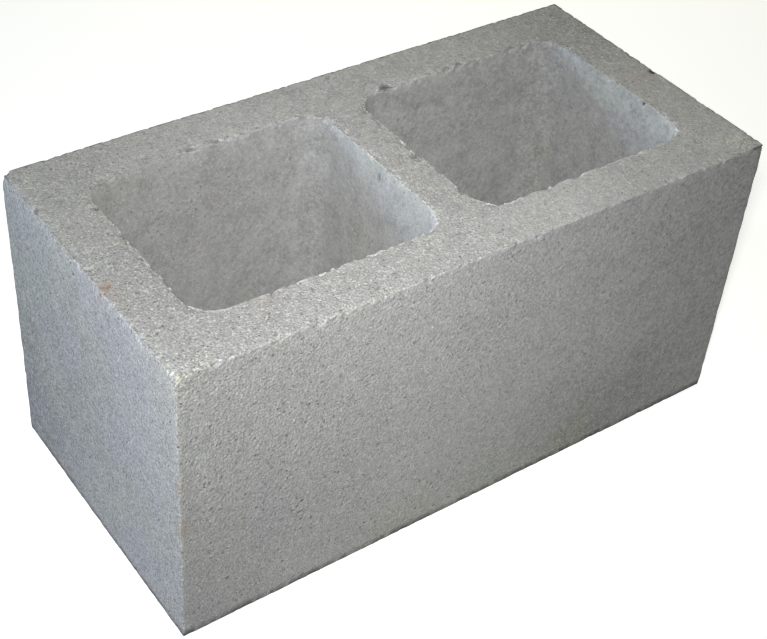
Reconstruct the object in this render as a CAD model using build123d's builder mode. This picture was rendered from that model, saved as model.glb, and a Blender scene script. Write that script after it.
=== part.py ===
from build123d import *

import os
from math import atan2, degrees

# Hollow concrete building block with two tapered cores and plain ends. It stands on its bed with
# the wide core mouths up, as it leaves the mould. +X runs along the length, +Z is up, and the origin
# is at the middle of the bed that it stands on.

# Outside of the block: a 16 x 8 x 8 inch module less one 3/8 inch mortar joint each way
block_length = 397.0
block_width = 194.0
block_height = 194.0

# Walls at the core mouths, where they are thinnest
end_web = 32.0
middle_web = 26.0
face_shell = 33.0

# Each core is narrower at the bed than at its mouth, by the taper on every side, and its corners
# are rounded, with this radius at the mouth
core_taper = 6.0
core_corner = 18.0

# Rounding that the mould and handling leave on the edges
upright_arris = 1.5
top_arris = 1.0
mouth_arris = 1.0
bed_arris = 1.0

# How far a cut runs past the face that it opens
overrun = 5.0

core_length = (block_length - 2 * end_web - middle_web) / 2
core_width = block_width - 2 * face_shell
core_offset = (core_length + middle_web) / 2
draft_angle = degrees(atan2(core_taper, block_height))

# One core as the mould's plug, hanging from its mouth: flat drafted walls and conical corners
with BuildPart() as core:
    with BuildSketch():
        RectangleRounded(core_length, core_width, core_corner)
    extrude(amount=-(block_height + overrun), taper=draft_angle)

# The block, one casting
with BuildPart() as block:
    with BuildSketch():
        Rectangle(block_length, block_width)
    extrude(amount=block_height)
    fillet(block.edges().filter_by(Axis.Z), radius=upright_arris)

    with Locations((-core_offset, 0, block_height), (core_offset, 0, block_height)):
        add(core.part, mode=Mode.SUBTRACT)

    top_face = block.faces().filter_by(Plane.XY).sort_by(Axis.Z)[-1]
    fillet(top_face.outer_wire().edges(), radius=top_arris)
    top_face = block.faces().filter_by(Plane.XY).sort_by(Axis.Z)[-1]
    fillet([wire.edges() for wire in top_face.inner_wires()], radius=mouth_arris)
    bed_face = block.faces().filter_by(Plane.XY).sort_by(Axis.Z)[0]
    fillet(bed_face.edges(), radius=bed_arris)

block.part.label = "concrete_block"
os.makedirs("parts", exist_ok=True)
export_step(block.part, "parts/concrete_block.step")
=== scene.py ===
from itertools import product
from math import cos, pi, radians, sin

import bpy
import numpy as np
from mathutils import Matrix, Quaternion, Vector


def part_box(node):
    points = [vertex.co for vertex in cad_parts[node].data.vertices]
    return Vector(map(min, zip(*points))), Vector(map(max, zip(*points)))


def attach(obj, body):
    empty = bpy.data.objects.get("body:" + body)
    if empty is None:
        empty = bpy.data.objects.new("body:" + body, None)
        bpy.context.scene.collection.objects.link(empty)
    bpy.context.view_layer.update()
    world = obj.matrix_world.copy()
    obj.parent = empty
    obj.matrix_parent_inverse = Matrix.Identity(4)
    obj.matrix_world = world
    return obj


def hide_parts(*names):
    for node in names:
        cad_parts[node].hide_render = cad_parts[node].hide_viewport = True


bl_info = {
    "name": "Concrete Block",
    "version": (1, 0, 0),
    "blender": (4, 5, 0),
    "location": "View3D > Sidebar > Block",
    "description": "Casts a weathered hollow concrete block and lights it on a pale floor",
    "category": "Add Mesh",
}

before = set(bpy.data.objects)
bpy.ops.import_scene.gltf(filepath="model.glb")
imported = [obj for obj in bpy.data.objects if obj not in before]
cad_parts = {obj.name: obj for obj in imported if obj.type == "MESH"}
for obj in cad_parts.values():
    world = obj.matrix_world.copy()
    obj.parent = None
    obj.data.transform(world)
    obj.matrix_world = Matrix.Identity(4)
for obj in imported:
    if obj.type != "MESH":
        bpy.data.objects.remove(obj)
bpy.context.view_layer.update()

NODE = "concrete_block"
BODY = "root"
MM = 0.001
# Points this close (m) are one point, and points this close to a plane lie in it
MERGE_DISTANCE = 0.1 * MM * MM
PLANE_DISTANCE = MM * MM
FLOOR_CORNERS = 64
SENSOR_WIDTH = 36.0
WHITE = (1.0, 1.0, 1.0)

box_low, box_high = (np.array(corner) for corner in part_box(NODE))


class BlockShape(bpy.types.PropertyGroup):
    """Sizes of the casting that its box doesn't give"""

    end_web: bpy.props.FloatProperty(
        name="End web", description="Wall at each end, at the core mouths",
        default=0.032, unit="LENGTH")
    middle_web: bpy.props.FloatProperty(
        name="Middle web", description="Wall between the cores, at their mouths",
        default=0.026, unit="LENGTH")
    face_shell: bpy.props.FloatProperty(
        name="Face shell", description="Long wall beside the cores, at their mouths",
        default=0.033, unit="LENGTH")
    core_taper: bpy.props.FloatProperty(
        name="Core taper", description="How much each core wall leans in from mouth to bed",
        default=0.006, unit="LENGTH")
    core_corner: bpy.props.FloatProperty(
        name="Core corner", description="Radius of a core's upright corners at its mouth",
        default=0.018, unit="LENGTH")
    upright_arris: bpy.props.FloatProperty(
        name="Upright arris", description="Rounding of the four upright outer edges",
        default=0.0015, unit="LENGTH")
    top_arris: bpy.props.FloatProperty(
        name="Top arris", description="Rounding of the outer edges of the top bed",
        default=0.001, unit="LENGTH")
    mouth_arris: bpy.props.FloatProperty(
        name="Mouth arris", description="Rounding round the core mouths",
        default=0.001, unit="LENGTH")
    bed_arris: bpy.props.FloatProperty(
        name="Bed arris", description="Rounding of the edges of the lower bed",
        default=0.001, unit="LENGTH")
    mesh_step: bpy.props.FloatProperty(
        name="Mesh step", description="Distance between mesh points along the finest rows",
        default=0.00107, unit="LENGTH")


class BlockWear(bpy.types.PropertyGroup):
    """How rough and how worn the casting is"""

    seed: bpy.props.IntProperty(
        name="Seed", description="Starts the random draws of relief and chips", default=5)
    face_relief: bpy.props.FloatProperty(
        name="Face relief", description="Depth of the relief of the moulded faces",
        default=0.00012, unit="LENGTH")
    top_relief: bpy.props.FloatProperty(
        name="Top relief", description="Depth of the coarse relief of the top bed",
        default=0.0001, unit="LENGTH")
    wave: bpy.props.FloatProperty(
        name="Wave", description="Depth of the slow waves of every face",
        default=0.0003, unit="LENGTH")
    edge_reach: bpy.props.FloatProperty(
        name="Edge reach", description="How far from an edge its wear reaches",
        default=0.0024, unit="LENGTH")
    mouth_depth: bpy.props.FloatProperty(
        name="Mouth depth", description="How deep the ragged edges of the core mouths are bitten",
        default=0.0018, unit="LENGTH")
    rim_depth: bpy.props.FloatProperty(
        name="Rim depth", description="How deep the outer edges of the top bed are bitten",
        default=0.0008, unit="LENGTH")
    arris_depth: bpy.props.FloatProperty(
        name="Arris depth", description="How deep the upright and the lower edges are bitten",
        default=0.0006, unit="LENGTH")
    chips: bpy.props.IntProperty(
        name="Chips", description="Number of small chips along the edges of the top bed",
        default=150)
    pits: bpy.props.IntProperty(
        name="Pits", description="Number of open pores in the top bed",
        default=60)


class BlockFinish(bpy.types.PropertyGroup):
    """Colours and grain of the concrete"""

    cement: bpy.props.FloatVectorProperty(
        name="Cement", description="Main colour of the moulded faces",
        subtype="COLOR", size=3, default=(0.3695, 0.37, 0.367), min=0.0, max=1.0)
    cement_dark: bpy.props.FloatVectorProperty(
        name="Dark cement", description="Colour of the faint bluish patches",
        subtype="COLOR", size=3, default=(0.3655, 0.364, 0.369), min=0.0, max=1.0)
    top_cement: bpy.props.FloatVectorProperty(
        name="Top cement", description="Main colour of the sandy top bed",
        subtype="COLOR", size=3, default=(0.371, 0.37, 0.372), min=0.0, max=1.0)
    pale_sand: bpy.props.FloatVectorProperty(
        name="Pale sand", description="Colour of the palest grains",
        subtype="COLOR", size=3, default=(0.72, 0.715, 0.69), min=0.0, max=1.0)
    dark_sand: bpy.props.FloatVectorProperty(
        name="Dark sand", description="Colour of the darkest grains",
        subtype="COLOR", size=3, default=(0.1, 0.1, 0.097), min=0.0, max=1.0)
    # Hollow: painted shadow, near black in the open pores and in the dark marks, and painted shade
    # along the foot and along the outer edges that are turned away
    hollow: bpy.props.FloatVectorProperty(
        name="Hollow", description="Colour of open pores, deep bites and dirty edges",
        subtype="COLOR", size=3, default=(0.03, 0.029, 0.028), min=0.0, max=1.0)
    rust: bpy.props.FloatVectorProperty(
        name="Rust", description="Colour of the small rust stains",
        subtype="COLOR", size=3, default=(0.28, 0.18, 0.105), min=0.0, max=1.0)
    cream: bpy.props.FloatVectorProperty(
        name="Cream", description="Colour of the creamy grains",
        subtype="COLOR", size=3, default=(0.7, 0.665, 0.53), min=0.0, max=1.0)
    grain_size: bpy.props.FloatProperty(
        name="Grain size", description="Width of the sand grains",
        default=0.00115, unit="LENGTH")
    face_grain: bpy.props.FloatProperty(
        name="Face grain", description="Contrast of the fine grain of the moulded faces",
        default=1.1)
    top_grain: bpy.props.FloatProperty(
        name="Top grain", description="Contrast of the fine grain of the top bed",
        default=0.9)
    roughness_height: bpy.props.FloatProperty(
        name="Roughness height", description="Height of the fine grain in the faces' relief",
        default=0.00045, unit="LENGTH")


class BlockStage(bpy.types.PropertyGroup):
    """Camera, lamps and floor"""

    eye: bpy.props.FloatVectorProperty(
        name="Eye", description="Place of the camera", subtype="TRANSLATION", size=3,
        default=(-0.4402, -0.5545, 0.6742), unit="LENGTH")
    target: bpy.props.FloatVectorProperty(
        name="Target", description="Point in the middle of the view", subtype="TRANSLATION", size=3,
        default=(-0.0182, -0.0219, 0.097), unit="LENGTH")
    roll: bpy.props.FloatProperty(
        name="Roll", description="Turn of the camera about its view, anticlockwise from behind it",
        subtype="ANGLE", default=radians(4.97))
    lens: bpy.props.FloatProperty(
        name="Lens", description="Focal length for a sensor 36 mm wide", default=70.2)
    floor_size: bpy.props.FloatProperty(
        name="Floor size", description="Radius of the floor", default=8.0, unit="LENGTH")
    front_power: bpy.props.FloatProperty(
        name="Front power", description="Lamp just above the camera, in watts", default=0.955)
    back_power: bpy.props.FloatProperty(
        name="Back power", description="Large warm lamp behind the right end, in watts",
        default=9.0)
    side_power: bpy.props.FloatProperty(
        name="Side power", description="Cool lamp behind the left end, in watts", default=6.4)
    near_power: bpy.props.FloatProperty(
        name="Near power", description="Small lamp close to the left end, in watts", default=0.66)
    sky: bpy.props.FloatProperty(
        name="Sky", description="Strength of the even light from all round", default=0.1)


def spaced(length, step):
    """A number of mesh steps that is a multiple of four, so that coarser rows can skip points"""
    return 4 * max(1, round(length / (4 * step)))


def leg(count, inner, turn, outer, swing, share, reach):
    """One stretch of stations round a core: each is a spoke from the core's wall to the outside.

    Every argument but count and reach is a pair, its value at the start and at the end of the
    stretch, and runs evenly between them. A station holds the corner centre and the direction
    that give a point of the core, the same for the outside, and how far the outside lies from
    its centre.
    """
    part = np.arange(count) / count

    def run(pair):
        first, last = (np.atleast_1d(np.array(end, float)) for end in pair)
        return first + np.outer(part, last - first)

    angle, bearing, scale = run(turn)[:, 0], run(swing)[:, 0], run(share)
    return np.hstack([
        run(inner), np.stack([np.cos(angle), np.sin(angle)], 1),
        run(outer), np.stack([np.cos(bearing), np.sin(bearing)], 1) * scale,
        np.full((count, 1), reach),
    ])


def quarter_stations(shape, length, width):
    """Stations from the middle of the middle web round to the middle of an end web.

    The core outline is a rectangle with round corners, and the outer outline is the block's, whose
    place of the middle web is the plane x = 0, so that mirrored quarters meet there.
    """
    core_length = (length - 2 * shape.end_web - shape.middle_web) / 2
    core_width = width - 2 * shape.face_shell
    centre = -(core_length + shape.middle_web) / 2
    near = centre + core_length / 2 - shape.core_corner
    far = centre - core_length / 2 + shape.core_corner
    side = core_width / 2 - shape.core_corner
    back, end, corner = width / 2, -length / 2, shape.upright_arris
    wall, close = back - corner, end + corner
    fine = 3 * corner
    step = shape.mesh_step

    east, north, west = 0.0, pi / 2, pi
    half_turn = pi / 4
    stations = [
        leg(spaced(side, step), ((near, 0), (near, side)), (east, east),
            ((0, 0), (0, 0)), (north, north), (0, side / back), back),
        leg(spaced(back - side, step), ((near, side), (near, side)), (east, half_turn),
            ((0, 0), (0, 0)), (north, north), (side / back, 1), back),
        leg(spaced(-near, step), ((near, side), (near, side)), (half_turn, north),
            ((0, wall), (near, wall)), (north, north), (1, 1), corner),
        leg(spaced(near - far, step), ((near, side), (far, side)), (north, north),
            ((near, wall), (far, wall)), (north, north), (1, 1), corner),
    ]
    # Round the outer corner: a plain stretch, a fine one, the arris, and the same again
    stops = [(far, wall), (close + fine, wall), (close, wall),
             (close, wall), (close, wall - fine), (close, side)]
    lengths = [far - close - fine, fine, corner * pi / 2, fine, wall - fine - side]
    steps = [step, step / 2, step / 3, step / 2, step]
    bearings = [north, north, north, west, west, west]
    turns = north + np.concatenate([[0], np.cumsum(lengths)]) / sum(lengths) * pi / 2
    for i, run_length in enumerate(lengths):
        stations.append(leg(
            spaced(run_length, steps[i]), ((far, side), (far, side)), (turns[i], turns[i + 1]),
            (stops[i], stops[i + 1]), (bearings[i], bearings[i + 1]), (1, 1), corner))
    # Along the end to its middle, and the one station there
    for count, start in ((spaced(side, step), side), (1, 0)):
        stations.append(leg(
            count, ((far, start), (far, 0)), (west, west),
            ((close, start), (close, 0)), (west, west), (1, 1), corner))
    return np.vstack(stations)


def graded(length, first, last, growth=1.3, most_steps=100):
    """Places from 0 up to a length, which is left out. The steps grow from the first to the last"""
    steps = np.minimum(first * growth ** np.arange(most_steps), last)
    places = np.concatenate([[0], np.cumsum(steps)])
    count = np.searchsorted(places, length)
    return places[:count] * length / places[count]


def profile_rows(shape, height):
    """Rows of the skin, from a core's foot over its mouth, the top and the outside to the bed.

    A row is (skip, core offset, outer inset, share, z): it uses every skip-th station, and its
    points lie at that share of the way from the core's outline, pushed out by the core offset, to
    the outer outline, pulled in by the inset. Roundings are arcs tangent to the faces beside them.
    """
    slope = shape.core_taper / height
    lean = np.arctan(slope)
    mouth, foot, top = shape.mouth_arris, shape.bed_arris, shape.top_arris
    step = shape.mesh_step
    fine_step, wall_step, face_step = step / 2, 7 * step, 5 * step
    fine_band, middle_band = 6 * step, 18 * step
    arc_rows, low_arc_rows, top_rows, bed_rows = 4, 3, 26, 12
    crowding, dense_part = 0.12, 0.26

    def wall_offset(z):
        return shape.core_corner - slope * (height - z)

    mouth_z = height - mouth
    mouth_centre = wall_offset(mouth_z) + mouth / cos(lean)
    foot_centre = wall_offset(foot) + foot / cos(lean)
    wall_top = mouth_z + mouth * sin(lean)
    wall_foot = foot + foot * sin(lean)
    wall_height = wall_top - wall_foot
    rows = []

    for depth in np.append(graded(wall_height, fine_step, wall_step), wall_height)[:0:-1]:
        skip = 1 if depth < fine_band else 2 if depth < middle_band else 4
        rows.append((skip, wall_offset(wall_top - depth), 0, 0, wall_top - depth))
    for angle in np.linspace(pi - lean, pi / 2, arc_rows, endpoint=False):
        rows.append((1, mouth_centre + mouth * cos(angle), 0, 0, mouth_z + mouth * sin(angle)))
    # The rows of the top crowd towards both its edges
    for part in np.linspace(0, 1, top_rows, endpoint=False):
        share = part - crowding * sin(2 * pi * part)
        skip = 1 if min(part, 1 - part) < dense_part else 2
        rows.append((skip, mouth_centre, top, share, height))
    for angle in np.linspace(0, pi / 2, arc_rows, endpoint=False):
        rows.append((1, 0, top * (1 - sin(angle)), 1, height - top * (1 - cos(angle))))
    for depth in graded(height - top - foot, fine_step, face_step):
        rows.append((1 if depth < fine_band else 2, 0, 0, 1, height - top - depth))
    for angle in np.linspace(0, pi / 2, low_arc_rows, endpoint=False):
        rows.append((2, 0, foot * (1 - cos(angle)), 1, foot * (1 - sin(angle))))
    for part in np.linspace(1, 0, bed_rows, endpoint=False):
        rows.append((4, foot_centre, foot, part, 0))
    for angle in np.linspace(3 * pi / 2, pi - lean, low_arc_rows, endpoint=False):
        rows.append((4, foot_centre + foot * cos(angle), 0, 0, foot + foot * sin(angle)))
    return rows


def strip(first, second):
    """Triangles between two rows of points, where one may have twice the cells of the other"""
    if len(first) == len(second):
        a, b, c, d = first[:-1], first[1:], second[1:], second[:-1]
        return np.concatenate([np.stack([a, b, c], 1), np.stack([a, c, d], 1)])
    if len(first) < len(second):
        return strip(second, first)[:, ::-1]
    a, b, c, d, e = first[:-1:2], first[1::2], first[2::2], second[:-1], second[1:]
    return np.concatenate([np.stack(three, 1) for three in ((a, b, d), (b, e, d), (b, c, e))])


def casting_mesh(shape, length, width, height):
    """Points and triangles of the whole smooth casting, one closed skin.

    One quarter is a grid of rows by stations. It is mirrored in y and in x, points that meet are
    merged by their rounded places, and what lies in the plane of the middle web is dropped.
    """
    stations = quarter_stations(shape, length, width)
    rows, points, start = [], [], 0
    for skip, offset, inset, share, z in profile_rows(shape, height):
        part = stations[::skip]
        core = part[:, 0:2] + part[:, 2:4] * offset
        outside = part[:, 4:6] + part[:, 6:8] * (part[:, 8:9] - inset)
        plan = core * (1 - share) + outside * share
        points.append(np.column_stack([plan, np.full(len(plan), z)]))
        rows.append(np.arange(start, start + len(plan)))
        start += len(plan)
    points = np.vstack(points)
    triangles = np.concatenate([strip(*pair) for pair in zip(rows, rows[1:] + rows[:1])])

    all_points, all_triangles = [], []
    for copy, (flip_x, flip_y) in enumerate(product((1, -1), repeat=2)):
        all_points.append(points * (flip_x, flip_y, 1))
        faces = triangles if flip_x * flip_y > 0 else triangles[:, ::-1]
        all_triangles.append(faces + copy * len(points))
    points, triangles = np.vstack(all_points), np.vstack(all_triangles)
    places = np.round(points / MERGE_DISTANCE).astype(np.int64)
    _, first, same = np.unique(places, axis=0, return_index=True, return_inverse=True)
    points, triangles = points[first], same.reshape(-1)[triangles]
    in_plane = (np.abs(points[:, 0]) < PLANE_DISTANCE)[triangles].all(1)
    triangles = triangles[~in_plane]
    used, triangles = np.unique(triangles, return_inverse=True)
    points, triangles = points[used], triangles.reshape(-1, 3)
    a, b, c = (points[triangles[:, i]] for i in range(3))
    volume = np.einsum("ij,ij->i", a, np.cross(b, c)).sum()
    return points, triangles if volume > 0 else triangles[:, ::-1]


def point_normals(points, triangles):
    """Outward direction at each point: the sum of its triangles' area vectors, made one long"""
    a, b, c = (points[triangles[:, i]] for i in range(3))
    area = np.cross(b - a, c - a)
    corners = triangles.ravel()
    total = np.stack([
        np.bincount(corners, np.repeat(area[:, axis], 3), len(points)) for axis in range(3)], 1)
    return total / np.linalg.norm(total, axis=1, keepdims=True)


def lattice_noise(points, cell, seed):
    """Value noise between -1 and 1: a random value at each corner of a lattice of cubes, eased
    between the corners by 3t^2 - 2t^3 along each axis"""
    place = (points - points.min(0)) / cell
    base = np.floor(place).astype(int)
    part = place - base
    part = part * part * (3 - 2 * part)
    values = np.random.default_rng(seed).uniform(-1, 1, base.max(0) + 2)
    total = 0
    for corner in product((0, 1), repeat=3):
        weight = np.prod(np.where(corner, part, 1 - part), axis=1)
        total = total + weight * values[tuple((base + corner).T)]
    return total


def layered_noise(points, cell, seed, layers=2, fall=0.6):
    """Mean of lattice noises, each with half the cell and a lower weight than the one before"""
    weights = [fall ** layer for layer in range(layers)]
    total = sum(weight * lattice_noise(points, cell / 2 ** layer, seed + layer)
                for layer, weight in enumerate(weights))
    return total / sum(weights)


def wall_distances(shape, points, length, width, height):
    """Depth of each point below the top, above the bed and inside the ends, sides and cores"""
    x, y, z = np.abs(points[:, 0]), np.abs(points[:, 1]), points[:, 2]
    core_length = (length - 2 * shape.end_web - shape.middle_web) / 2
    core_width = width - 2 * shape.face_shell
    centre = (core_length + shape.middle_web) / 2
    across = np.abs(x - centre) - (core_length / 2 - shape.core_corner)
    along = y - (core_width / 2 - shape.core_corner)
    reach = shape.core_corner - shape.core_taper * (height - z) / height
    outside = np.hypot(np.maximum(across, 0), np.maximum(along, 0))
    inside = np.minimum(np.maximum(across, along), 0)
    return height - z, z, length / 2 - x, width / 2 - y, outside + inside - reach


# Marks that the block shows: place (mm), radius and depth (mm), and how dark the mark is, a painted
# shadow in its bowl
MARKS = (
    ((10.5, -3.0, 194.0), 4.5, 3.0, 0.2),
    ((-13.0, 0.0, 185.0), 2.2, 1.0, 0.6),
    ((196.6, -1.2, 194.0), 3.0, 0.8, 1.0),
    ((166.4, -24.5, 192.5), 2.1, 1.4, 1.0),
    ((37.5, 66.0, 194.0), 3.4, 2.2, 0.7),
    ((84.0, 66.0, 193.0), 2.0, 1.4, 0.5),
    ((94.0, 66.0, 194.0), 2.4, 1.4, 0.5),
    ((136.5, 66.0, 194.0), 2.2, 1.4, 0.4),
    ((-98.5, 66.0, 194.0), 2.4, 1.3, 0.6),
    ((-81.5, 66.0, 194.0), 2.4, 1.3, 0.5),
    ((-28.8, -98.0, 194.0), 2.2, 1.2, 0.6),
    ((-168.0, 42.0, 193.0), 2.4, 1.2, 0.7),
    ((-166.0, 30.0, 193.0), 2.0, 1.0, 0.5),
    ((-198.5, 97.0, 194.0), 6.0, 1.8, 0.1),
    ((-197.0, 56.0, 194.0), 2.4, 0.5, 0.5),
    ((198.5, -97.0, 194.0), 3.0, 0.4, 0.3),
    ((-198.5, -97.0, 194.0), 5.0, 1.0, 0.0),
)

# The near corner of the left mouth, which has kept its edge: its middle and its reach (mm)
WHOLE_CORNER, WHOLE_REACH = (-154.0, -57.0, 194.0), 17.0

# Rust stains and creamy grains: place (mm), radius (mm) and strength
RUST = (
    ((-194.7, -20.5, 194.0), 5.0, 0.65),
    ((-195.2, -31.1, 194.0), 2.5, 0.3),
    ((-192.1, -35.6, 194.0), 2.0, 0.3),
    ((-0.7, -2.5, 194.0), 4.0, 0.25),
    ((190.0, -3.0, 194.0), 5.0, 0.3),
    ((181.0, -3.0, 194.0), 6.0, 0.2),
    ((171.0, -30.0, 194.0), 3.0, 0.3),
    ((168.5, 53.0, 194.0), 2.5, 0.3),
    ((-132.0, -69.0, 194.0), 9.0, 0.15),
    ((-198.5, -97.0, 118.0), 4.0, 0.5),
    ((-198.5, -97.0, 88.0), 4.5, 0.55),
    ((-198.5, -57.0, 62.0), 4.0, 0.25),
)
CREAM = (
    ((-197.0, -96.0, 194.0), 5.0, 0.6),
    ((-185.0, -96.0, 194.0), 7.0, 0.25),
    ((-198.5, -97.0, 185.0), 4.0, 0.5),
    ((-1.0, -33.0, 194.0), 2.0, 0.8),
    ((8.0, -45.0, 194.0), 5.0, 0.2),
    ((-13.0, 42.0, 194.0), 5.0, 0.3),
    ((-13.0, 12.0, 194.0), 5.0, 0.3),
    ((-13.0, -22.0, 194.0), 5.0, 0.3),
    ((-14.0, -50.0, 194.0), 5.0, 0.3),
    ((-198.5, 33.5, 194.0), 2.0, 0.8),
    ((186.0, -86.0, 194.0), 9.0, 0.45),
)

# Broad patches that are paler or darker: place and radius (mm), strength and the way that they
# face. Some are tone that differs at random; others are painted light and shade: paler patches high
# on the walls of the cores, and the darker far right of the top, lower right of the front and far
# foot of the left end
TONE_AND_LIGHT_PATCHES = (
    ((198.0, 80.0, 194.0), 60.0, -0.17, "top"),
    ((-70.0, 85.0, 194.0), 45.0, 0.09, "top"),
    ((-185.0, -20.0, 194.0), 60.0, -0.08, "top"),
    ((-150.0, -80.0, 194.0), 60.0, -0.06, "top"),
    ((-52.0, -85.0, 194.0), 55.0, -0.11, "top"),
    ((0.0, -38.0, 194.0), 22.0, -0.09, "top"),
    ((0.0, 36.0, 194.0), 18.0, -0.06, "top"),
    ((50.0, -85.0, 194.0), 36.0, 0.07, "top"),
    ((190.0, -85.0, 194.0), 30.0, 0.08, "top"),
    ((90.0, -97.0, 8.0), 55.0, -0.18, "front"),
    ((142.0, -97.0, 30.0), 42.0, -0.11, "front"),
    ((141.0, -97.0, 142.0), 34.0, -0.07, "front"),
    ((0.0, -97.0, 145.0), 34.0, -0.05, "front"),
    ((-124.0, -97.0, 10.0), 28.0, 0.1, "front"),
    ((-62.0, -97.0, 50.0), 30.0, 0.06, "front"),
    ((-184.5, -97.0, 135.0), 4.0, 0.13, "front"),
    ((-183.0, -97.0, 122.0), 5.0, 0.13, "front"),
    ((-185.0, -97.0, 110.0), 4.0, 0.1, "front"),
    ((-141.7, -97.0, 20.0), 3.0, 0.16, "front"),
    ((-142.0, -97.0, 9.0), 4.0, 0.16, "front"),
    ((-198.0, 97.0, 10.0), 50.0, -0.2, "end"),
    ((-198.0, 12.0, 92.0), 45.0, -0.08, "end"),
    ((-198.0, 97.0, 90.0), 60.0, -0.07, "end"),
    # Painted light: paler patches high on the walls of the cores that face along the block
    ((-20.0, -50.0, 190.0), 20.0, 0.15, "end"),
    ((165.0, -50.0, 190.0), 20.0, 0.15, "end"),
    ((-20.0, 25.0, 192.0), 36.0, 0.13, "end"),
    ((-16.0, -60.0, 189.0), 9.0, 0.3, "end"),
    ((166.0, 5.0, 168.0), 18.0, 0.09, "end"),
    ((-80.0, 64.0, 182.0), 16.0, -0.06, "front"),
    ((-80.0, 61.0, 134.0), 26.0, -0.06, "front"),
    ((-32.0, 63.0, 166.0), 14.0, -0.06, "front"),
    ((60.0, 63.0, 162.0), 14.0, -0.06, "front"),
)

# Faint green film on the front face and the left end: place (mm), radius (mm) and strength
MOSS = (
    ((-198.5, 60.0, 150.0), 45.0, 0.35),
    ((-198.5, 60.0, 90.0), 30.0, 0.3),
    ((-198.5, -92.0, 135.0), 24.0, 0.35),
    ((-198.5, -92.0, 95.0), 24.0, 0.35),
    ((-50.0, -97.0, 8.0), 30.0, 0.7),
    ((20.0, -97.0, 4.0), 40.0, 0.8),
    ((75.0, -97.0, 8.0), 30.0, 1.0),
)


def tone_and_light_patches(points, normals):
    """How much paler each point is, partly painted light and shade: the sum of the broad patches,
    each a bell with a wavy edge
    """
    facing = {"top": normals[:, 2], "front": -normals[:, 1], "end": -normals[:, 0]}
    wavy = 1 + 0.35 * layered_noise(points, 30 * MM, 90)
    total = np.zeros(len(points))
    for place, radius, strength, face in TONE_AND_LIGHT_PATCHES:
        near = np.linalg.norm(points - np.array(place) * MM, axis=1) * wavy / (radius * MM)
        total = total + strength * np.exp(-near ** 2) * np.clip(facing[face], 0, 1)
    return total


def stain(points, spots, seed):
    """How stained each point is: the most of the spots, each a bell with a broken edge"""
    broken = 1 + 0.9 * layered_noise(points, 3 * MM, seed)
    amount = np.zeros(len(points))
    for place, radius, strength in spots:
        near = np.linalg.norm(points - np.array(place) * MM, axis=1) * broken / (radius * MM)
        amount = np.maximum(amount, strength * np.exp(-near ** 2))
    return amount


def edge_bells(distances, reach):
    """How near each point is to the core mouths, the top's rim, the upright arrises and the foot.

    Each is a bell, exp(-(a^2 + b^2) / reach^2), of the depths a and b inside the edge's two faces.
    """
    top, bed, ends, sides, cores = distances

    def bell(first, second):
        return np.exp(-(first ** 2 + second ** 2) / reach ** 2)

    rim = np.maximum(bell(top, ends), bell(top, sides))
    foot = np.maximum(np.maximum(bell(bed, ends), bell(bed, sides)), bell(bed, cores))
    return bell(top, cores), rim, bell(ends, sides), foot


def beyond(distance):
    """Runs from 0 to 1 while a distance (mm) runs from 0 to 10"""
    return np.clip(distance / 10, 0, 1)


def round_marks(wear, points, edges, on_top, whole):
    """Depth and darkness of the listed marks, the chips along the edges and the pits in the top.
    The darkness is painted shadow in the bowls.

    A mark is a bowl: its depth falls off as one less the squared distance over the squared radius,
    and its outline is jagged by noise.
    """
    draw = np.random.default_rng(wear.seed + 30)
    marks = [(np.array(place) * MM, radius * MM, deep * MM, dark)
             for place, radius, deep, dark in MARKS]
    for spot in draw.choice(np.flatnonzero(edges > 0.5), wear.chips):
        radius = draw.uniform(1.3, 1.3 + 2.2 * draw.random()) * MM
        deep = radius * draw.uniform(0.3, 0.6) * (1 - whole[spot])
        marks.append((points[spot], radius, deep, 0.06))
    for spot in draw.choice(np.flatnonzero(on_top > 0.9), wear.pits):
        radius = draw.uniform(1.0, 2.0) * MM
        deep = radius * draw.uniform(0.1, 0.3)
        marks.append((points[spot], radius, deep, draw.uniform(0.0, 0.14)))
    jagged = 1 + 0.4 * layered_noise(points, 3 * MM, wear.seed + 40)
    depth, darkness = np.zeros(len(points)), np.zeros(len(points))
    for place, radius, deep, dark in marks:
        distance = np.linalg.norm(points - place, axis=1) * jagged / radius
        bowl = np.clip(1 - distance ** 2, 0, 1)
        depth += deep * bowl
        darkness = np.maximum(darkness, dark * np.clip(1.8 * bowl, 0, 1))
    return depth, darkness


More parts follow.
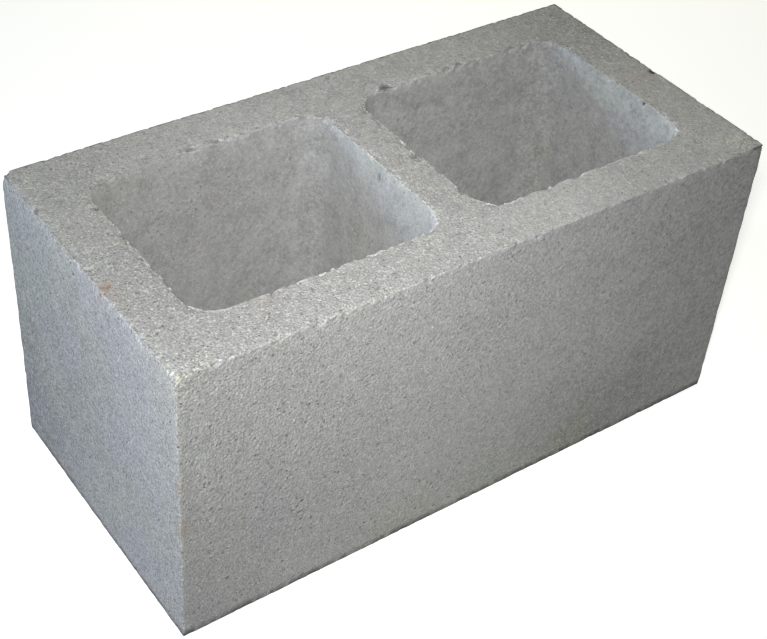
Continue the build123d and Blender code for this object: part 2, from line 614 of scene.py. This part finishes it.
def weather(wear, shape, points, triangles, length, width, height):
    """Wears the smooth casting: every point moves inwards along its normal.

    The depth is slow waves, fine relief, edges bitten where layered noise is high, and round
    marks. Returns the places and, for the finish, how worn, how dark with painted shadow and
    shade, how deep in a core, how pale (partly painted light and shade), how green, rusty and
    creamy each point is.
    """
    normals = point_normals(points, triangles)
    distances = wall_distances(shape, points, length, width, height)
    top, _, ends, _, cores = distances
    x, y = points[:, 0] / MM, points[:, 1] / MM
    mouth, rim, upright, foot = edge_bells(distances, wear.edge_reach)
    thin_mouth, thin_rim, thin_upright, _ = edge_bells(distances, 0.5 * wear.edge_reach)
    on_top = np.clip(normals[:, 2], 0, 1) ** 2 * np.exp(-(top / wear.edge_reach) ** 2)
    whole = np.linalg.norm(points - np.array(WHOLE_CORNER) * MM, axis=1) / (WHOLE_REACH * MM)
    whole = np.exp(-whole ** 4)
    # The left end's top edge is worn wider than the others
    left = np.exp(-((length / 2 + points[:, 0]) / (4 * MM)) ** 2 - (top / (4 * MM)) ** 2)
    # The outer edges at the back and at the right end carry painted shade and are not pale
    away = beyond(np.maximum(y - 80, x - 180))
    # The far sides of the mouths, at the back and at the right
    far = beyond(np.maximum(y - 48, x - 150))

    seed = wear.seed
    slow = layered_noise(points, 70 * MM, seed)
    lumps = layered_noise(points, 8 * MM, seed + 10)
    bites = layered_noise(points, 2.7 * MM, seed + 15)
    sand = layered_noise(points, 3 * MM, seed + 20)
    relief = wear.face_relief + (wear.top_relief - wear.face_relief) * on_top
    depth = wear.wave * (0.5 + 0.5 * slow) + relief * (0.5 + 0.9 * sand)
    # Each kind of edge: its depth, its place, and how its bites follow the two noises
    for deepest, where, start, by_lumps, by_bites in (
            (wear.mouth_depth, mouth * (1 - 0.85 * whole), 0.0, 1.4, 2.1),
            (wear.rim_depth, rim, 0.1, 0.4, 1.3),
            (wear.arris_depth, np.maximum(upright, 0.6 * foot), 0.2, 0.2, 1.2),
            (0.8 * MM, left, 0.5, 1.4, 0.6)):
        depth += deepest * where * np.clip(start + by_lumps * lumps + by_bites * bites, 0, 2)
    chipped = np.maximum(mouth, rim * (1 - away))
    mark_depth, darkness = round_marks(wear, points, chipped, on_top, whole)
    darkness = darkness * np.clip(1.1 + 1.2 * sand, 0.3, 1)
    worn = points - normals * (depth + mark_depth)[:, None]
    worn = np.clip(worn, (-length / 2, -width / 2, 0), (length / 2, width / 2, height))

    # Pale broken edges, fewer along the far sides of the mouths, and a line along the near ones
    broken = np.maximum(np.clip(0.7 + 1.2 * lumps, 0.15, 1), whole)
    thin_mouth = thin_mouth * (1 - far * np.clip(1.1 - 2 * bites, 0, 1))
    pale = broken * np.maximum(np.maximum(thin_mouth, 0.5 * thin_rim), 0.6 * thin_upright)
    near_line = 0.55 * broken * mouth ** 2 * beyond(-48 - y)
    # Painted light: a paler band along the top of the left end and of the walls that face the same
    # way
    painted_light_band = np.exp(-(top / (14 * MM)) ** 2 - np.maximum(ends, 0) / (5 * MM))
    painted_light_band = 0.07 * np.clip(-normals[:, 0], 0, 1) * painted_light_band
    # Painted shade: a dark line along the foot and along the outer edges that are turned away
    painted_edge_shade = np.maximum(foot, away * np.maximum(0.85 * rim, 0.75 * upright))
    painted_edge_shade = 0.9 * np.clip(3 * painted_edge_shade - 1.3, 0, 1) * np.clip(0.8 + 0.4 * lumps + bites, 0.2, 1)
    return worn, {
        "wear": pale * (1 - away),
        # Painted shadow in the marks and painted shade along the foot and the far outer edges
        "mark": np.maximum(darkness, painted_edge_shade),
        "inner": np.clip(1 - np.abs(cores) / (2 * MM), 0, 1),
        # Tone: random tone, painted light and shade, the band of painted light and a paler line
        # along the near mouths
        "tone": tone_and_light_patches(points, normals) + painted_light_band + near_line,
        "moss": stain(points, MOSS, seed + 70),
        "rust": stain(points, RUST, seed + 50),
        "cream": stain(points, CREAM, seed + 60),
    }


def new_mesh(name, points, triangles, attributes):
    """A mesh of smooth-shaded triangles, with one number for each point in every attribute"""
    mesh = bpy.data.meshes.new(name)
    mesh.vertices.add(len(points))
    mesh.vertices.foreach_set("co", points.astype(np.float32).ravel())
    mesh.loops.add(triangles.size)
    mesh.loops.foreach_set("vertex_index", triangles.astype(np.int32).ravel())
    mesh.polygons.add(len(triangles))
    mesh.polygons.foreach_set("loop_start", np.arange(0, triangles.size, 3, dtype=np.int32))
    mesh.update(calc_edges=True)
    mesh.shade_smooth()
    for key, values in attributes.items():
        layer = mesh.attributes.new(key, "FLOAT", "POINT")
        layer.data.foreach_set("value", values.astype(np.float32))
    mesh.validate()
    return mesh


class Nodes:
    """Adds shader nodes to one material or world and links them"""

    def __init__(self, owner):
        owner.use_nodes = True
        self.tree = owner.node_tree
        self.tree.nodes.clear()

    def add(self, kind, inputs=None, **settings):
        """A node, with a value or a link for each named input"""
        node = self.tree.nodes.new(kind)
        for key, value in settings.items():
            setattr(node, key, value)
        for key, value in (inputs or {}).items():
            if isinstance(value, bpy.types.NodeSocket):
                self.tree.links.new(value, node.inputs[key])
            else:
                node.inputs[key].default_value = value
        return node

    def math(self, operation, first, second=0.0):
        return self.add("ShaderNodeMath", {0: first, 1: second}, operation=operation).outputs[0]

    def plus(self, first, second):
        return self.math("ADD", first, second)

    def minus(self, first, second):
        return self.math("SUBTRACT", first, second)

    def times(self, first, second):
        return self.math("MULTIPLY", first, second)

    def noise(self, place, scale, detail=2.0, roughness=0.5):
        node = self.add("ShaderNodeTexNoise",
                        {"Vector": place, "Scale": scale, "Detail": detail, "Roughness": roughness})
        return node.outputs["Fac"]

    def ramp(self, value, low, high, low_out=0.0, high_out=1.0):
        """Smooth step of a value from one range to another"""
        node = self.add("ShaderNodeMapRange",
                        {"Value": value, "From Min": low, "From Max": high,
                         "To Min": low_out, "To Max": high_out},
                        interpolation_type="SMOOTHSTEP")
        return node.outputs["Result"]

    def between(self, share, first, second):
        """Runs from the first to the second value while a share runs from 0 to 1"""
        return self.ramp(share, 0, 1, first, second)

    def swings(self, start, *terms):
        """A start value plus, for each pair of a noise and an amount, amount * (noise - 0.5)"""
        total = start
        for value, amount in terms:
            total = self.plus(total, self.times(self.minus(value, 0.5), amount))
        return total

    def split(self, vector):
        """The three parts of a vector"""
        return self.add("ShaderNodeSeparateXYZ", {"Vector": vector}).outputs

    def mix(self, factor, first, second, blend="MIX"):
        node = self.add("ShaderNodeMix", {"Factor": factor, "A": first, "B": second},
                        data_type="RGBA", blend_type=blend)
        return node.outputs["Result"]

    def paint(self, base, amount, tint):
        """A base colour with an amount of a plain one over it"""
        return self.mix(amount, base, colour(tint))


def colour(value):
    """A colour with the fourth number that sockets ask for"""
    return (*value, 1.0)


def concrete(finish):
    """Dry-cast concrete: fine grain, a sandy top bed, pores, pale worn edges and stains, with
    painted light and shade: painted shadow in pores and marks, darker core corners, a painted sheen
    and cool light high in the cores, and paler or darker patches
    """
    material = bpy.data.materials.new("concrete")
    nodes = Nodes(material)
    objects = nodes.add("ShaderNodeTexCoord").outputs
    place = nodes.add("ShaderNodeVectorMath", {0: objects["Object"], 1: (1 / MM,) * 3},
                      operation="MULTIPLY").outputs[0]
    level = nodes.split(place)["Z"]
    across, along, up = nodes.split(objects["Normal"])
    top = nodes.ramp(up, 0.45, 0.85)
    lengthways = nodes.math("ABSOLUTE", across)
    end = nodes.ramp(lengthways, 0.5, 0.9)
    # The mark attribute is painted shadow and shade; the tone attribute holds painted light and
    # shade among its tones
    wear, mark, inner, tone, moss, rust, cream = (
        nodes.add("ShaderNodeAttribute", attribute_name=name).outputs["Fac"]
        for name in ("wear", "mark", "inner", "tone", "moss", "rust", "cream"))

    patches = nodes.ramp(nodes.noise(place, scale=0.022), 0.38, 0.62)
    base = nodes.mix(patches, colour(finish.cement), colour(finish.cement_dark))
    base = nodes.paint(base, top, finish.top_cement)

    # Noises from fine to broad, and cells as wide as a sand grain, each with two random numbers
    fine = nodes.noise(place, scale=1.2, detail=1.0, roughness=0.7)
    lumps = nodes.noise(place, scale=0.8, detail=0.5)
    medium = nodes.noise(place, scale=0.4, roughness=0.6)
    mottle = nodes.noise(place, scale=0.09)
    cells = nodes.add("ShaderNodeTexVoronoi", {"Vector": place, "Scale": MM / finish.grain_size})
    draws = nodes.add("ShaderNodeSeparateColor", {"Color": cells.outputs["Color"]})
    grain, tint = draws.outputs[0], draws.outputs[1]
    roundness = nodes.ramp(cells.outputs["Distance"], 0.2, 0.55, 1.0, 0.0)

    # Fine grain is strongest at the near corner, where x + y is least, and broad grain far from it
    diagonal = nodes.add("ShaderNodeVectorMath", {0: place, 1: (1.0, 1.0, 0.0)},
                         operation="DOT_PRODUCT").outputs["Value"]

    def strength(near, far, on_end, inside):
        """From pairs (side faces, top) near and far, and factors on the ends and in the cores"""
        pairs = (nodes.between(top, *pair) for pair in (near, far))
        factor = nodes.ramp(inner, 0.2, 0.8, nodes.between(end, 1.0, on_end), inside)
        return nodes.times(nodes.ramp(diagonal, -260.0, 120.0, *pairs), factor)

    gain = strength(near=(1.17, 1.17), far=(0.47, 0.66), on_end=1.28, inside=0.66)
    broad_gain = strength(near=(0.76, 0.55), far=(1.75, 2.1), on_end=1.7, inside=0.8)
    sharp = nodes.swings(
        0.0, (fine, nodes.between(top, finish.face_grain, finish.top_grain)),
        (grain, nodes.between(end, nodes.between(top, 0.22, 0.24), 0.3)))
    broad = nodes.swings(
        0.0, (medium, nodes.between(top, 0.55, 0.32)),
        (mottle, nodes.ramp(inner, 0.2, 0.8, 0.19, 0.4)))
    light = nodes.plus(nodes.times(sharp, gain), nodes.times(broad, broad_gain))
    # Tone adds painted light and shade to the base colour
    light = nodes.plus(light, nodes.plus(1.0, tone))

    # Painted shade and light inside the cores: the corners where x and y grow together are darker,
    # and the other two are paler, a painted sheen
    turn = nodes.times(across, along)
    sheen = nodes.ramp(turn, -0.45, -0.1, 1.5, 0.0)
    sheen = nodes.times(sheen, nodes.math("POWER", lengthways, 2.0))
    sheen = nodes.times(sheen, nodes.ramp(across, -0.2, 0.2, 0.5, 1.0))
    corner = nodes.minus(nodes.ramp(turn, 0.1, 0.45, 0.0, 0.13), sheen)
    light = nodes.minus(light, nodes.times(corner, inner))

    # Red and blue follow the light, less the green film. High up, the cores' end walls are bluish:
    # painted cool light, by less red.
    bluish = nodes.times(nodes.times(inner, end), nodes.ramp(level, 145.0, 180.0, 0.0, 0.026))
    red = nodes.minus(nodes.swings(light, (tint, 0.03)), nodes.times(moss, 0.035))
    red = nodes.minus(red, bluish)
    blue = nodes.swings(light, (tint, -0.05), (patches, nodes.between(end, 0.01, 0.035)))
    blue = nodes.minus(blue, nodes.times(moss, 0.1))
    shade = nodes.add("ShaderNodeCombineColor", {0: red, 1: light, 2: blue}).outputs[0]
    base = nodes.mix(1.0, base, shade, "MULTIPLY")

    # Single grains of pale and dark sand, thicker on the top bed and on worn edges
    bare = nodes.math("MAXIMUM", nodes.times(top, 0.2), wear)
    pale = nodes.math("GREATER_THAN", grain, nodes.between(bare, 0.98, 0.5))
    pale = nodes.times(pale, nodes.between(bare, nodes.times(gain, 0.22), 0.7))
    base = nodes.paint(base, pale, finish.pale_sand)
    dark = nodes.math("LESS_THAN", grain, nodes.between(top, 0.013, 0.028))
    base = nodes.paint(base, nodes.times(dark, nodes.times(gain, 0.4)), finish.dark_sand)

    # Open pores, which come in clusters, painted near black as shadow, and the round marks, with
    # their painted shadow and the painted shade along the foot and far outer edges
    pores = nodes.add("ShaderNodeTexVoronoi", {"Vector": place, "Scale": 0.3})
    pore_size = nodes.add("ShaderNodeSeparateColor", {"Color": pores.outputs["Color"]}).outputs[1]
    pore_size = nodes.math("POWER", pore_size, 5.0)
    pore_size = nodes.times(pore_size, nodes.ramp(mottle, 0.35, 0.65, 0.1, 0.34))
    pore = nodes.ramp(nodes.minus(pores.outputs["Distance"], pore_size), -0.06, 0.01, 1.0, 0.0)
    pore_shade = nodes.times(pore, nodes.times(gain, nodes.between(end, 0.4, 0.6)))
    base = nodes.paint(base, pore_shade, finish.hollow)
    base = nodes.paint(base, nodes.times(mark, 0.95), finish.hollow)

    # Rust in patches, and creamy grains
    patchy = nodes.ramp(nodes.swings(0.5, (medium, 1.5), (grain, 0.5)), 0.2, 0.7, 0.3, 1.0)
    base = nodes.paint(base, nodes.times(rust, patchy), finish.rust)
    creamy = nodes.ramp(nodes.swings(cream, (fine, 2.4), (grain, 0.4)), 0.45, 0.7)
    base = nodes.paint(base, nodes.times(creamy, 0.7), finish.cream)

    # Fine relief (mm), which a bump carries
    high = finish.roughness_height / MM
    relief = nodes.swings(
        0.0, (lumps, nodes.between(top, high, 1.3 * high)),
        (medium, nodes.between(top, 0.4 * high, 0.6 * high)),
        (roundness, nodes.between(bare, 0.03, 0.09)))
    relief = nodes.minus(nodes.times(relief, gain), nodes.times(pore, 0.4))
    bump = nodes.add("ShaderNodeBump", {"Height": relief, "Distance": MM, "Strength": 1.0})
    shader = nodes.add("ShaderNodeBsdfPrincipled",
                       {"Base Color": base, "Roughness": 0.92, "Specular IOR Level": 0.2,
                        "Normal": bump.outputs["Normal"]})
    nodes.add("ShaderNodeOutputMaterial", {"Surface": shader.outputs[0]})
    return material


def seen_share(nodes):
    """One for what is seen, straight or in a gloss, and zero for what lights the block"""
    path = nodes.add("ShaderNodeLightPath").outputs
    return nodes.math("MAXIMUM", path["Is Camera Ray"], path["Is Glossy Ray"])


def pale_floor():
    """Floor that is pale to the camera and mid grey to the light that it throws back"""
    material = bpy.data.materials.new("floor")
    nodes = Nodes(material)
    seen = seen_share(nodes)
    tone = nodes.mix(seen, colour((0.3,) * 3), colour((0.8,) * 3))
    diffuse = nodes.add("ShaderNodeBsdfDiffuse", {"Color": tone})
    glow = nodes.add("ShaderNodeEmission",
                     {"Color": colour(WHITE), "Strength": nodes.times(seen, 0.55)})
    both = nodes.add("ShaderNodeAddShader", {0: diffuse.outputs[0], 1: glow.outputs[0]})
    nodes.add("ShaderNodeOutputMaterial", {"Surface": both.outputs[0]})
    return material


def white_sky(strength):
    """World that is white to the camera and gives the block an even light of this strength"""
    world = bpy.data.worlds.new("sky")
    nodes = Nodes(world)
    level = nodes.add("ShaderNodeMapRange", {"Value": seen_share(nodes), "To Min": strength})
    background = nodes.add("ShaderNodeBackground",
                           {"Color": colour(WHITE), "Strength": level.outputs["Result"]})
    nodes.add("ShaderNodeOutputWorld", {"Surface": background.outputs[0]})
    return world


def area_lamp(name, place, size, power, tint, target=(0.0, 0.0, 0.1), spread=180.0):
    """A round lamp that faces a target and throws its light no wider than the spread, in degrees"""
    data = bpy.data.lights.new(name, "AREA")
    data.shape, data.size, data.energy, data.color = "DISK", size, power, tint
    data.spread = radians(spread)
    lamp = bpy.data.objects.new(name, data)
    lamp.location = place
    lamp.rotation_mode = "QUATERNION"
    lamp.rotation_quaternion = (Vector(target) - Vector(place)).to_track_quat("-Z", "Y")
    bpy.context.scene.collection.objects.link(lamp)


class BLOCK_OT_cast(bpy.types.Operator):
    """Cast the block: its worn skin and its concrete"""

    bl_idname = "block.cast"
    bl_label = "Cast Block"

    def execute(self, context):
        shape, wear = context.scene.block_shape, context.scene.block_wear
        length, width, height = (float(side) for side in box_high - box_low)
        points, triangles = casting_mesh(shape, length, width, height)
        points, finish = weather(wear, shape, points, triangles, length, width, height)
        mesh = new_mesh("cast_block", points, triangles, finish)
        mesh.materials.append(concrete(context.scene.block_finish))
        block = bpy.data.objects.new("cast_block", mesh)
        context.scene.collection.objects.link(block)
        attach(block, BODY)
        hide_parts(NODE)
        return {"FINISHED"}


class BLOCK_OT_stage(bpy.types.Operator):
    """Set the floor, the lamps, the sky and the camera"""

    bl_idname = "block.stage"
    bl_label = "Set Stage"

    def execute(self, context):
        stage, scene = context.scene.block_stage, context.scene
        angles = np.linspace(0, 2 * pi, FLOOR_CORNERS, endpoint=False)
        ring = np.stack([np.cos(angles), np.sin(angles), 0 * angles], 1) * stage.floor_size
        mesh = bpy.data.meshes.new("floor")
        mesh.from_pydata(ring.tolist(), [], [list(range(FLOOR_CORNERS))])
        mesh.materials.append(pale_floor())
        floor = bpy.data.objects.new("floor", mesh)
        scene.collection.objects.link(floor)

        eye, target = Vector(stage.eye), Vector(stage.target)
        above_camera = eye + Vector((-0.02, 0.0, 0.08))
        area_lamp("front", place=above_camera, size=0.06, power=stage.front_power,
                  tint=(1.0, 1.0, 0.968), target=(-0.01, -0.03, 0.12), spread=54.0)
        area_lamp("back", place=(1.0, 1.2, 1.1), size=0.8, power=stage.back_power,
                  tint=(1.0, 0.987, 0.7))
        area_lamp("side", place=(-1.2, 0.8, 0.44), size=0.25, power=stage.side_power,
                  tint=(0.6, 0.773, 1.0))
        area_lamp("near", place=(-0.54, -0.17, 0.25), size=0.15, power=stage.near_power,
                  tint=(0.893, 0.946, 1.0))
        scene.world = white_sky(stage.sky)

        data = bpy.data.cameras.new("camera")
        data.lens, data.sensor_width, data.sensor_fit = stage.lens, SENSOR_WIDTH, "HORIZONTAL"
        camera = bpy.data.objects.new("camera", data)
        camera.location = eye
        camera.rotation_mode = "QUATERNION"
        aim = (target - eye).to_track_quat("-Z", "Y")
        camera.rotation_quaternion = aim @ Quaternion((0, 0, 1), stage.roll)
        scene.collection.objects.link(camera)
        scene.camera = camera
        scene.view_settings.view_transform = "Standard"
        return {"FINISHED"}


class BLOCK_PT_panel(bpy.types.Panel):
    """The block's operators and their settings"""

    bl_idname = "BLOCK_PT_panel"
    bl_label = "Concrete Block"
    bl_space_type = "VIEW_3D"
    bl_region_type = "UI"
    bl_category = "Block"

    def draw(self, context):
        for operator, groups in ((BLOCK_OT_cast, ("block_shape", "block_wear", "block_finish")),
                                 (BLOCK_OT_stage, ("block_stage",))):
            self.layout.operator(operator.bl_idname)
            for name in groups:
                group = getattr(context.scene, name)
                column = self.layout.box().column()
                for key in group.bl_rna.properties.keys():
                    if key not in ("rna_type", "name"):
                        column.prop(group, key)


GROUPS = {
    "block_shape": BlockShape, "block_wear": BlockWear,
    "block_finish": BlockFinish, "block_stage": BlockStage,
}
CLASSES = (*GROUPS.values(), BLOCK_OT_cast, BLOCK_OT_stage, BLOCK_PT_panel)


def register():
    for cls in CLASSES:
        bpy.utils.register_class(cls)
    for name, group in GROUPS.items():
        setattr(bpy.types.Scene, name, bpy.props.PointerProperty(type=group))


def unregister():
    for name in GROUPS:
        delattr(bpy.types.Scene, name)
    for cls in reversed(CLASSES):
        bpy.utils.unregister_class(cls)


def main():
    register()
    bpy.ops.block.cast()
    bpy.ops.block.stage()


if __name__ == "__main__":
    main()
